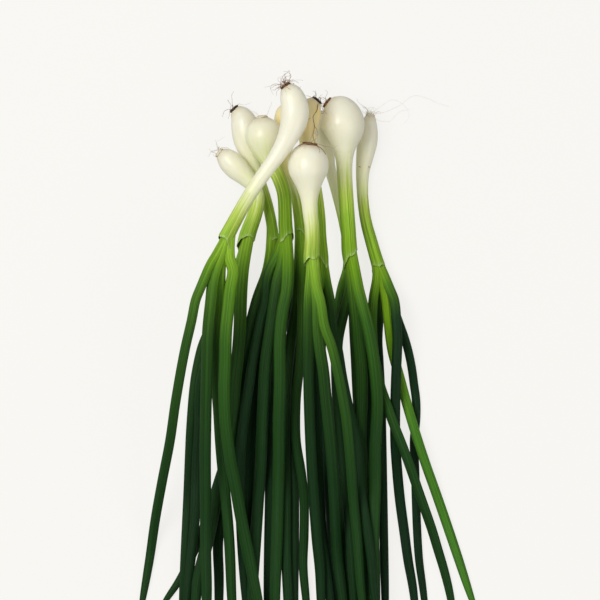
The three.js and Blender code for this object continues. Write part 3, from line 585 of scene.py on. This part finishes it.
class Skin:
    """A mesh in the making, with the values that the materials read at each point.

    reach: distance past the change from white to green. On roots it is 1 on a hair and 0 on the plate.
    tone: how young a green is, a bulb's distance from its foot, or how pale a plate or hair is.
    film: how dry and pale a sheath is, or how far a white skin has taken on the green one's look.
    """

    def __init__(self):
        self.points, self.faces = [], []
        self.values = {"reach": [], "tone": [], "film": []}
        self.grain = []

    def add(self, rings, grain, reach=0.0, tone=0.0, film=0.0, caps=True):
        """Joins rings of points, an array of rows, into a tube. Ends are closed with fans."""
        rows, sides = rings.shape[:2]
        base = sum(len(p) for p in self.points)
        points = rings.reshape(-1, 3)
        grain = grain.reshape(-1, 3)
        values = {}
        for key, value in zip(self.values, (reach, tone, film)):
            values[key] = np.broadcast_to(value, (rows, sides)).ravel()
        i, j = np.meshgrid(np.arange(rows - 1), np.arange(sides), indexing="ij")
        a, b = base + i * sides + j, base + i * sides + (j + 1) % sides
        self.faces += np.stack([a, b, b + sides, a + sides], axis=-1).reshape(-1, 4).tolist()
        if caps:
            first = base + rows * sides
            top = base + (rows - 1) * sides
            ends = [0, (rows - 1) * sides]
            points = np.vstack([points, rings[0].mean(axis=0), rings[-1].mean(axis=0)])
            grain = np.vstack([grain, grain[ends]])
            values = {key: np.append(v, v[ends]) for key, v in values.items()}
            self.faces += [[first, base + (k + 1) % sides, base + k] for k in range(sides)]
            self.faces += [[first + 1, top + k, top + (k + 1) % sides] for k in range(sides)]
        self.points.append(points)
        self.grain.append(grain)
        for key, value in values.items():
            self.values[key].append(value)

    def build(self, name, material, subdivide=True):
        points = np.vstack(self.points)
        points[:, 2] = np.maximum(points[:, 2], 0)
        mesh = bpy.data.meshes.new(name)
        mesh.from_pydata((points * MM).tolist(), [], self.faces)
        mesh.polygons.foreach_set("use_smooth", [True] * len(self.faces))
        for key, value in self.values.items():
            layer = mesh.attributes.new(key, "FLOAT", "POINT")
            layer.data.foreach_set("value", np.concatenate(value).astype(np.float32))
        layer = mesh.attributes.new("grain", "FLOAT_VECTOR", "POINT")
        layer.data.foreach_set("vector", np.vstack(self.grain).astype(np.float32).ravel())
        mesh.materials.append(material)
        piece = bpy.data.objects.new(name, mesh)
        bpy.context.scene.collection.objects.link(piece)
        if subdivide:
            smooth = piece.modifiers.new("smooth", "SUBSURF")
            smooth.levels = smooth.render_levels = 1
        return piece


def round_angles(sides):
    return np.linspace(0, 2 * math.pi, sides, endpoint=False)


def grain_of(angle, s, seed):
    """Coordinates in which noise makes streaks along a stem: a circle across it and a slow run along it."""
    run = s if s.ndim == 2 else s[:, None]
    x = np.cos(angle) + GRAIN_SPREAD[0] * seed
    y = np.sin(angle) + GRAIN_SPREAD[1] * seed
    parts = np.broadcast_arrays(x, y, run / GRAIN_LENGTH)
    return np.stack(parts, axis=-1)


def tube_rings(strand, s, sides, swell):
    """Rings round a strand. swell is a share to widen each point by."""
    angle = round_angles(sides)
    middle, side, up = frames(strand, s)
    wide = strand.at(s, "wide")[:, None] * (1 + swell)
    high = strand.at(s, "high")[:, None] * (1 + swell)
    across = (wide * np.cos(angle))[:, :, None] * side[:, None]
    return middle[:, None] + across + (high * np.sin(angle))[:, :, None] * up[:, None]


def waves(angle, s, rng, lobes, size):
    """Gentle lobes round a stem that drift along it, as a share of its radius."""
    total = np.zeros((len(s), len(angle)))
    for lobe in lobes:
        phase = rng.uniform(0, 2 * math.pi)
        drift = rng.uniform(-LOBE_DRIFT, LOBE_DRIFT)
        total += np.sin(lobe * angle[None, :] + phase + drift * s[:, None]) / lobe
    return size * total


def steps(start, end, step):
    """Distances from one value to another in about equal steps."""
    return np.linspace(start, end, max(1, round((end - start) / step)) + 1)


def away_from_seam(onion, s):
    return smoothstep(0, SEAM_FADE, np.abs(s - onion["green"]))[:, None]


def past_white(onion, s):
    """How far distances along a stem are past the place where its colour turns to green."""
    return s - onion["green"] - LATE_GREEN.get(onion["name"], 0)


def make_bulb(onion, spine, index):
    """The white bulb and shank, closed at the foot by a low dome."""
    rng = random.Random(BULB_SEED + index)
    green = onion["green"]
    fine = min(BULB_LENGTH, green - SHANK_STEP)
    bulb = steps(0, fine, BULB_STEP)
    shank = steps(fine, green - SKIN_TURN, SHANK_STEP)[1:]
    s = np.concatenate([bulb, shank, [green + SKIN_OVERLAP]])
    angle = round_angles(BULB_SIDES)
    swell = waves(angle, s, rng, *BULB_LOBES) + waves(angle, s, rng, *BULB_RIBS)
    swell *= away_from_seam(onion, s)
    swell[-1] = -SKIN_TUCK
    rings = tube_rings(spine, s, BULB_SIDES, swell)
    middle = spine.point(0.0)
    out = foot_direction(spine)
    dome = [middle + (rings[0] - middle) * share + out * rise for share, rise in FOOT_DOME]
    rings = np.concatenate([np.array(dome), rings])
    s = np.concatenate([DOME_PLACES, s])
    skin = Skin()
    near_seam = smoothstep(-SEAM_BLEND[0], -SEAM_BLEND[1], s - green)[:, None]
    reach = past_white(onion, s)[:, None]
    skin.add(rings, grain_of(angle, s, index), reach=reach, tone=s[:, None], film=near_seam)
    finish = GOLDEN_FINISH if onion["name"] in GOLDEN_BULBS else BULB_FINISH
    finish_piece(skin.build(onion["name"] + "_bulb_skin", finish), onion["name"] + "_bulb")


def make_leaves(onion, spine, leaves, index):
    """The green shank, the sheath at its fork and the leaves."""
    rng = random.Random(LEAVES_SEED + index)
    skin = Skin()
    green = onion["green"]
    fork = spine.s[-1]
    s = steps(green - GREEN_LAP, fork, SHANK_STEP)
    angle = round_angles(SHANK_SIDES)
    swell = waves(angle, s, rng, *SHANK_LOBES) * away_from_seam(onion, s)
    rings = tube_rings(spine, s, SHANK_SIDES, swell)
    reach = past_white(onion, s)[:, None]
    skin.add(rings, grain_of(angle, s, index), reach=reach, tone=SHANK_TONE, caps=False)
    add_collar(skin, onion, spine, leaves[-1], rng, index)
    angle = round_angles(LEAF_SIDES)
    for number, leaf in enumerate(leaves):
        seed = LEAF_GRAIN + MOST_LEAVES * index + number
        rings = tube_rings(leaf, leaf.s, LEAF_SIDES, waves(angle, leaf.s, rng, *LEAF_LOBES))
        reach = past_white(onion, leaf.s + fork - LEAF_ROOTED)[:, None]
        own = smoothstep(LEAF_ROOTED, LEAF_ROOTED + TONE_BLEND, leaf.s)[:, None]
        tone = SHANK_TONE + (LEAF_TONES[onion["name"]][number] - SHANK_TONE) * own
        skin.add(rings, grain_of(angle, leaf.s, seed), reach=reach, tone=tone)
    finish_piece(skin.build(onion["name"] + "_leaves_skin", LEAF_FINISH), onion["name"] + "_leaves")


def add_collar(skin, onion, spine, leaf, rng, index):
    """The sheath round the leaf bases. It leaves the shank's surface and ends in a slanted, ragged lip."""
    fork = spine.s[-1]
    angle = round_angles(SHANK_SIDES)
    slant = rng.uniform(0, 2 * math.pi)
    jag = waves(angle, np.zeros(1), rng, COLLAR_LOBES, COLLAR_JAG)[0]
    top = fork + rng.uniform(*COLLAR_LIP) * (0.5 + 0.5 * np.cos(angle - slant)) ** COLLAR_SLANT + jag
    share = np.linspace(0, 1, COLLAR_ROWS)[:, None]
    s = fork - COLLAR_BACK + (top - fork + COLLAR_BACK) * share
    inside, past = np.minimum(s, fork), np.maximum(s - fork, 0)
    low, high = COLLAR_GROWTH
    outer = spine.at(inside, "wide") + low + (high - low) * share**2
    rings = []
    for radius in (outer, (outer - COLLAR_THICKNESS)[::-1]):
        flip = slice(None) if radius is outer else slice(None, None, -1)
        columns = []
        for j, turn in enumerate(angle):
            middle, side, up = frames(spine, inside[flip, j])
            onward = leaf.point(LEAF_ROOTED + past[flip, j]) - leaf.point(LEAF_ROOTED)
            across = math.cos(turn) * side + math.sin(turn) * up
            columns.append(middle + onward + radius[:, j, None] * across)
        rings.append(np.stack(columns, axis=1))
    s = np.concatenate([s, s[::-1]])
    film = np.concatenate([share**COLLAR_PALING, np.ones_like(share)])
    grain = grain_of(angle, s, index)
    skin.add(np.concatenate(rings), grain, reach=past_white(onion, s), tone=SHANK_TONE, film=film, caps=False)


def foot_direction(spine):
    """The way out of a bulb's foot along its axis."""
    out = spine.point(0.0) - spine.point(2 * SAMPLE_STEP)
    return out / np.linalg.norm(out)


def make_roots(onion, spine, index):
    """A crusty root plate, a brush of fine curly hair roots, and dark lines drawn on the bulb near it."""
    rng = random.Random(ROOTS_SEED + index)
    name = onion["name"]
    foot = spine.point(0.0)
    out = foot_direction(spine)
    side = np.cross([0, 0, 1], out)
    side /= np.linalg.norm(side)
    up = np.cross(out, side)
    radius = spine.wide[0] * PLATE_SHARE
    skin = Skin()
    angle = round_angles(PLATE_SIDES)
    arms = np.cos(angle)[:, None] * side + np.sin(angle)[:, None] * up
    rings = []
    for share, rise in PLATE_RINGS:
        bumps = np.array([1 + rng.uniform(-PLATE_BUMPS, PLATE_BUMPS) for _ in angle])[:, None]
        rises = np.array([rise + rng.uniform(-PLATE_CRUST, PLATE_CRUST) for _ in angle])[:, None]
        rings.append(foot + out * (PLATE_OFFSET + rises) + arms * radius * share * bumps)
    tone = PLATE_TONES.get(name, PALE_PLATE)
    grain = grain_of(angle, np.linspace(0, PLATE_GRAIN, len(rings)), index)
    skin.add(np.array(rings), grain, tone=tone)
    for _ in range(HAIRS.get(name, FEW_HAIRS)):
        points = hair(foot, out, side, up, radius, rng)
        hair_tone = rng.uniform(*HAIR_TONES.get(name, USUAL_HAIR_TONES))
        add_hair(skin, points, rng.uniform(*HAIR_RADIUS), hair_tone, index)
    for route in LONG_HAIRS.get(name, []):
        points = sample_curve(route) - [*PLAN_CENTRE, 0]
        add_hair(skin, points, LONG_HAIR_RADIUS, 1.0, index)
    for thickness, tone, route in MARKS.get(name, []):
        x, y, _ = sample_curve([[*point, 0] for point in route], MARK_STEP).T
        x, y = x - PLAN_CENTRE[0], y - PLAN_CENTRE[1]
        add_hair(skin, np.stack([x, y, height_on(spine, x, y)], axis=-1), thickness, tone, index)
    finish_piece(skin.build(name + "_roots_skin", ROOT_FINISH, subdivide=False), name + "_roots")


def height_on(spine, x, y):
    """Height of a spine's upper surface at plan points."""
    apart = np.hypot(x[:, None] - spine.x, y[:, None] - spine.y) / spine.wide
    nearest = apart.argmin(axis=1)
    share = np.clip(1 - apart.min(axis=1) ** 2, 0, None)
    return spine.z[nearest] + spine.high[nearest] * np.sqrt(share)


def hair(foot, out, side, up, radius, rng):
    """Points of one hair root, which starts in the plate and curls as it goes."""
    bearing = rng.uniform(0, 2 * math.pi)
    away = math.cos(bearing) * side + math.sin(bearing) * up
    lean = rng.uniform(*HAIR_LEAN)
    length = rng.uniform(*HAIR_LENGTH) * rng.choice(HAIR_SHARES)
    point = foot + away * radius * rng.uniform(*HAIR_BASES) + out * HAIR_RISE
    heading = out * math.cos(lean) + away * math.sin(lean)
    curl = np.array([rng.gauss(0, 1) for _ in range(3)])
    points = [point]
    for _ in range(HAIR_STEPS):
        curl = CURL_KEPT * curl + CURL_NEW * np.array([rng.gauss(0, 1) for _ in range(3)])
        heading = heading + HAIR_CURL * curl
        heading /= np.linalg.norm(heading)
        point = np.clip(point + heading * length / HAIR_STEPS, HAIR_LOW, HAIR_HIGH)
        points.append(point)
    return np.array(points)


def add_hair(skin, points, thickness, tone, index):
    """Adds a thin tapering tube along the given points."""
    along = np.gradient(points, axis=0)
    along /= np.linalg.norm(along, axis=1)[:, None]
    side = np.cross(along, HAIR_TURN)
    side /= np.linalg.norm(side, axis=1)[:, None]
    up = np.cross(along, side)
    angle = round_angles(HAIR_SIDES)
    taper = thickness * np.linspace(1, HAIR_TIP_SHARE, len(points))[:, None]
    rings = points[:, None] + (taper * np.cos(angle))[:, :, None] * side[:, None]
    rings = rings + (taper * np.sin(angle))[:, :, None] * up[:, None]
    grain = grain_of(angle, np.linspace(0, HAIR_GRAIN, len(points)), index)
    skin.add(rings, grain, reach=1.0, tone=tone)


def finish_piece(piece, node):
    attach(piece, "root")
    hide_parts(node)


# Materials


class Shader:
    """A material's node tree, built by short calls."""

    def __init__(self, name):
        self.material = bpy.data.materials.new(name)
        self.material.use_nodes = True
        self.tree = self.material.node_tree
        self.tree.nodes.clear()
        self.output = self.tree.nodes.new("ShaderNodeOutputMaterial")

    def add(self, kind, settings=None, **inputs):
        made = self.tree.nodes.new(kind)
        for key, value in (settings or {}).items():
            setattr(made, key, value)
        for key, value in inputs.items():
            self.set(made, key, value)
        return made

    def set(self, made, key, value):
        socket = made.inputs[int(key)] if key.isdigit() else made.inputs[key]
        if isinstance(value, bpy.types.NodeSocket):
            self.tree.links.new(value, socket)
        else:
            socket.default_value = value

    def attribute(self, name, output="Fac"):
        return self.add("ShaderNodeAttribute", {"attribute_name": name}).outputs[output]

    def ramp(self, value, stops):
        """A colour ramp. stops are (value, red, green, blue) in rising order, spread over their own range."""
        low, high = stops[0][0], stops[-1][0]
        share = self.add("ShaderNodeMapRange", Value=value)
        share.inputs["From Min"].default_value = low
        share.inputs["From Max"].default_value = high
        made = self.add("ShaderNodeValToRGB", Fac=share.outputs["Result"])
        band = made.color_ramp
        while len(band.elements) < len(stops):
            band.elements.new(0.5)
        for element, (place, *colour) in zip(band.elements, stops):
            element.position = (place - low) / (high - low)
            element.color = (*colour, 1)
        return made.outputs["Color"]

    def noise(self, grain, scale, detail, roughness, along=1):
        """Noise over a stem. along is how fast it changes along the stem, as a share of across it."""
        place = self.add("ShaderNodeMapping", Vector=grain)
        place.inputs["Scale"].default_value = (1, 1, along)
        made = self.add("ShaderNodeTexNoise", Vector=place.outputs["Vector"])
        made.inputs["Scale"].default_value = scale
        made.inputs["Detail"].default_value = detail
        made.inputs["Roughness"].default_value = roughness
        return made.outputs["Fac"]

    def spread(self, value, low, high, start, end):
        """Goes from low to high as a value goes from start to end, and no further past them."""
        made = self.add("ShaderNodeMapRange", Value=value)
        for key, number in (("From Min", start), ("From Max", end), ("To Min", low), ("To Max", high)):
            made.inputs[key].default_value = number
        return made.outputs["Result"]

    def mix(self, share, a, b, blend="MIX"):
        made = self.add("ShaderNodeMix", {"data_type": "RGBA", "blend_type": blend})
        for key, value in ((0, share), (6, a), (7, b)):
            self.set(made, str(key), value)
        return made.outputs[2]

    def shade(self, colour, value):
        """A colour made lighter or darker by a value."""
        made = self.add("ShaderNodeHueSaturation", Color=colour, Value=value)
        return made.outputs["Color"]

    def bump(self, height, distance, strength):
        made = self.add("ShaderNodeBump", Height=height)
        made.inputs["Distance"].default_value = distance
        made.inputs["Strength"].default_value = strength
        return made.outputs["Normal"]

    def finish(self, surface):
        self.tree.links.new(surface, self.output.inputs["Surface"])
        return self.material


# Colours by the distance, in mm, past the change from white to green
WHITE_PART = [
    (-34, 0.86, 0.84, 0.70),
    (-18, 0.85, 0.84, 0.64),
    (-8, 0.81, 0.83, 0.50),
    (0, 0.66, 0.74, 0.28),
    (6, 0.47, 0.61, 0.10),
]
DEEP_GREEN = WHITE_PART + [
    (20, 0.14, 0.30, 0.03),
    (42, 0.028, 0.095, 0.012),
    (70, 0.0070, 0.036, 0.0070),
    (100, 0.0042, 0.025, 0.0058),
    (330, 0.0036, 0.021, 0.0058),
]
MID_GREEN = WHITE_PART + [
    (20, 0.22, 0.42, 0.035),
    (45, 0.100, 0.24, 0.012),
    (80, 0.030, 0.100, 0.008),
    (140, 0.014, 0.060, 0.008),
    (330, 0.0095, 0.046, 0.008),
]
YOUNG_GREEN = WHITE_PART + [
    (20, 0.33, 0.52, 0.035),
    (45, 0.27, 0.47, 0.008),
    (80, 0.15, 0.33, 0.008),
    (130, 0.066, 0.21, 0.016),
    (330, 0.052, 0.18, 0.018),
]
REACH_DRIFT = 34.0  # how far, in mm, the change of colour wanders round a stem

# Colours of single features
WAX = (0.018, 0.054, 0.026, 1)
SPECKS = (0.035, 0.080, 0.030, 1)
SHEATH = (0.34, 0.50, 0.12, 1)
SHEATH_LIP = (0.62, 0.74, 0.36, 1)
FOOT_CREAM = (0.74, 0.63, 0.40, 1)
CRUST_BLACK = (0.012, 0.008, 0.005, 1)
CRUST_BROWN = (0.36, 0.15, 0.045, 1)
CRUST_MOTTLE = (0.03, 0.017, 0.009, 1)
PLATE_CREAM = (0.80, 0.74, 0.56, 1)
HAIR_DARK = (0.25, 0.085, 0.025, 1)
HAIR_STRAW = (0.80, 0.73, 0.56, 1)
PLANT_IOR = 1.42


def drifting_reach(shader, grain):
    """Distance past the change from white to green, which wanders from streak to streak."""
    drift = shader.noise(grain, scale=3.4, detail=3, roughness=0.55, along=0.25)
    moved = shader.add("ShaderNodeMath", {"operation": "MULTIPLY_ADD"})
    shader.set(moved, "0", drift)
    shader.set(moved, "1", REACH_DRIFT)
    shader.set(moved, "2", shader.attribute("reach"))
    middled = shader.add("ShaderNodeMath", {"operation": "SUBTRACT"})
    shader.set(middled, "0", moved.outputs[0])
    shader.set(middled, "1", REACH_DRIFT / 2)
    return middled.outputs[0]


def stem_colour(shader, reach, tone):
    """A stem's colour by the distance past the white part and by how young its green is."""
    deep, mid, young = (shader.ramp(reach, stops) for stops in (DEEP_GREEN, MID_GREEN, YOUNG_GREEN))
    older = shader.mix(shader.spread(tone, 0, 1, start=0, end=0.5), deep, mid)
    return shader.mix(shader.spread(tone, 0, 1, start=0.5, end=1), older, young)


def leaf_finish():
    shader = Shader("leaf_green")
    grain = shader.attribute("grain", "Vector")
    reach = drifting_reach(shader, grain)
    plain = stem_colour(shader, reach, shader.attribute("tone"))
    streaks = shader.noise(grain, scale=9, detail=2, roughness=0.6, along=0.05)
    streaked = shader.shade(plain, shader.spread(streaks, 0.55, 1.45, start=0.3, end=0.7))
    patches = shader.noise(grain, scale=2.2, detail=4, roughness=0.6, along=2)
    waxed = shader.mix(shader.spread(patches, 0, 0.22, start=0.45, end=0.75), streaked, WAX)
    specks = shader.noise(grain, scale=30, detail=2, roughness=0.5, along=3)
    specked = shader.mix(shader.spread(specks, 0, 0.5, start=0.7, end=0.78), waxed, SPECKS)
    colour = shader.mix(shader.spread(reach, 0, 1, start=0, end=14), plain, specked)
    film = shader.attribute("film")
    torn = shader.noise(grain, scale=4, detail=3, roughness=0.6, along=4)
    lip = shader.mix(shader.spread(torn, 0, 1, start=0.42, end=0.62), colour, SHEATH_LIP)
    colour = shader.mix(shader.spread(film, 0, 0.3, start=0, end=0.8), colour, SHEATH)
    colour = shader.mix(shader.spread(film, 0, 0.75, start=0.5, end=1), colour, lip)
    ribs = shader.noise(grain, scale=16, detail=2, roughness=0.5, along=0.02)
    made = shader.add("ShaderNodeBsdfPrincipled")
    shader.set(made, "Base Color", colour)
    shader.set(made, "Roughness", shader.spread(reach, 0.36, 0.5, start=0, end=40))
    shader.set(made, "Normal", shader.bump(ribs, distance=0.0004, strength=0.7))
    made.inputs["IOR"].default_value = PLANT_IOR
    made.inputs["Specular IOR Level"].default_value = 0.15
    return shader.finish(made.outputs["BSDF"])


def bulb_finish(name, flesh, skin, skin_share):
    """Moist onion skin. flesh tints it all, and skin shows in patches over skin_share of it."""
    shader = Shader(name)
    grain = shader.attribute("grain", "Vector")
    reach = drifting_reach(shader, grain)
    foot = shader.attribute("tone")
    near_seam = shader.attribute("film")
    plain = stem_colour(shader, reach, SHANK_TONE)
    tinted = shader.mix(1.0, plain, (*flesh, 1), "MULTIPLY")
    veins = shader.noise(grain, scale=7, detail=3, roughness=0.6, along=0.06)
    veined = shader.mix(shader.spread(veins, 0, 0.18, start=0.5, end=0.72), tinted, (*skin, 1))
    patches = shader.noise(grain, scale=1.6, detail=4, roughness=0.6, along=3)
    patched = shader.mix(shader.spread(patches, 0, skin_share, start=0.42, end=0.68), veined, (*skin, 1))
    colour = shader.mix(near_seam, patched, plain)
    colour = shader.mix(shader.spread(foot, 0.5, 0, start=0.5, end=3.5), colour, FOOT_CREAM)
    made = shader.add("ShaderNodeBsdfPrincipled")
    shader.set(made, "Base Color", colour)
    shader.set(made, "Normal", shader.bump(veins, distance=0.0004, strength=0.35))
    made.inputs["Roughness"].default_value = 0.36
    made.inputs["IOR"].default_value = PLANT_IOR
    shader.set(made, "Subsurface Weight", shader.spread(near_seam, 0.6, 0, start=0, end=1))
    made.inputs["Subsurface Radius"].default_value = (1.0, 0.95, 0.85)
    made.inputs["Subsurface Scale"].default_value = 0.006
    made.inputs["Coat Weight"].default_value = 0.15
    made.inputs["Coat Roughness"].default_value = 0.2
    return shader.finish(made.outputs["BSDF"])


def root_finish():
    shader = Shader("root_brown")
    grain = shader.attribute("grain", "Vector")
    tone = shader.attribute("tone")
    mottle = shader.noise(grain, scale=5, detail=4, roughness=0.65)
    crust = shader.mix(shader.spread(tone, 0, 1, start=0, end=1), CRUST_BLACK, CRUST_BROWN)
    mottled = shader.mix(shader.spread(mottle, 0, 0.9, start=0.4, end=0.6), crust, CRUST_MOTTLE)
    plate = shader.mix(shader.spread(tone, 0, 1, start=1, end=2), mottled, PLATE_CREAM)
    hairs = shader.mix(tone, HAIR_DARK, HAIR_STRAW)
    made = shader.add("ShaderNodeBsdfPrincipled")
    shader.set(made, "Base Color", shader.mix(shader.attribute("reach"), plate, hairs))
    shader.set(made, "Normal", shader.bump(mottle, distance=0.0006, strength=0.7))
    made.inputs["Roughness"].default_value = 0.8
    return shader.finish(made.outputs["BSDF"])


LEAF_FINISH = leaf_finish()
BULB_FINISH = bulb_finish("bulb_white", flesh=(1, 1, 1), skin=(0.84, 0.79, 0.58), skin_share=0.4)
GOLDEN_FINISH = bulb_finish("bulb_golden", flesh=(1.0, 0.93, 0.68), skin=(0.96, 0.74, 0.27), skin_share=0.85)
ROOT_FINISH = root_finish()

# The bunch


def make_bunch():
    laid = []
    for index, onion in enumerate(ONIONS, 1):
        spine, leaves = lay_onion(onion, laid)
        laid += [spine, *leaves]
        make_bulb(onion, spine, index)
        make_leaves(onion, spine, leaves, index)
        make_roots(onion, spine, index)


# Floor, light and camera


def make_floor():
    bpy.ops.mesh.primitive_plane_add(size=FLOOR_SIZE)
    floor = bpy.context.object
    floor.name = "floor"
    shader = Shader("paper")
    glow = shader.add("ShaderNodeEmission")
    glow.inputs["Color"].default_value = (*PAPER, 1)
    seen = shader.add("ShaderNodeLightPath").outputs["Is Camera Ray"]
    shader.set(glow, "Strength", shader.spread(seen, FLOOR_LIGHT, FLOOR_GLOW, start=0, end=1))
    matt = shader.add("ShaderNodeBsdfDiffuse")
    matt.inputs["Color"].default_value = (*FLOOR_GREY, 1)
    both = shader.add("ShaderNodeAddShader")
    shader.set(both, "0", glow.outputs[0])
    shader.set(both, "1", matt.outputs[0])
    floor.data.materials.append(shader.finish(both.outputs[0]))


def make_softbox(name, place, size, power):
    data = bpy.data.lights.new(name, "AREA")
    data.shape = "DISK"
    data.size = size
    data.energy = power
    lamp = bpy.data.objects.new(name, data)
    bpy.context.scene.collection.objects.link(lamp)
    lamp.location = place
    lamp.rotation_euler = (-Vector(place)).to_track_quat("-Z", "Y").to_euler()


def make_camera():
    data = bpy.data.cameras.new("camera")
    camera = bpy.data.objects.new("camera", data)
    bpy.context.scene.collection.objects.link(camera)
    middle = (PHOTO_MIDDLE - PLAN_CENTRE) * MM
    camera.location = (middle[0], middle[1], CAMERA_HEIGHT)
    data.sensor_width = SENSOR_WIDTH
    data.lens = data.sensor_width * CAMERA_HEIGHT / (PHOTO_SIZE * MM_PER_PIXEL * MM)
    bpy.context.scene.camera = camera


def make_world():
    world = bpy.data.worlds.new("studio")
    world.use_nodes = True
    tree = world.node_tree
    sky = tree.nodes["Background"]
    sky.inputs["Color"].default_value = (*PAPER, 1)
    seen = tree.nodes.new("ShaderNodeLightPath").outputs["Is Camera Ray"]
    strength = tree.nodes.new("ShaderNodeMapRange")
    strength.inputs["To Min"].default_value = WORLD_LIGHT
    strength.inputs["To Max"].default_value = WORLD_GLOW
    tree.links.new(seen, strength.inputs["Value"])
    tree.links.new(strength.outputs["Result"], sky.inputs["Strength"])
    bpy.context.scene.world = world
    bpy.context.scene.view_settings.view_transform = "Standard"


make_bunch()
make_world()
make_floor()
for softbox in SOFTBOXES:
    make_softbox(*softbox)
make_camera()
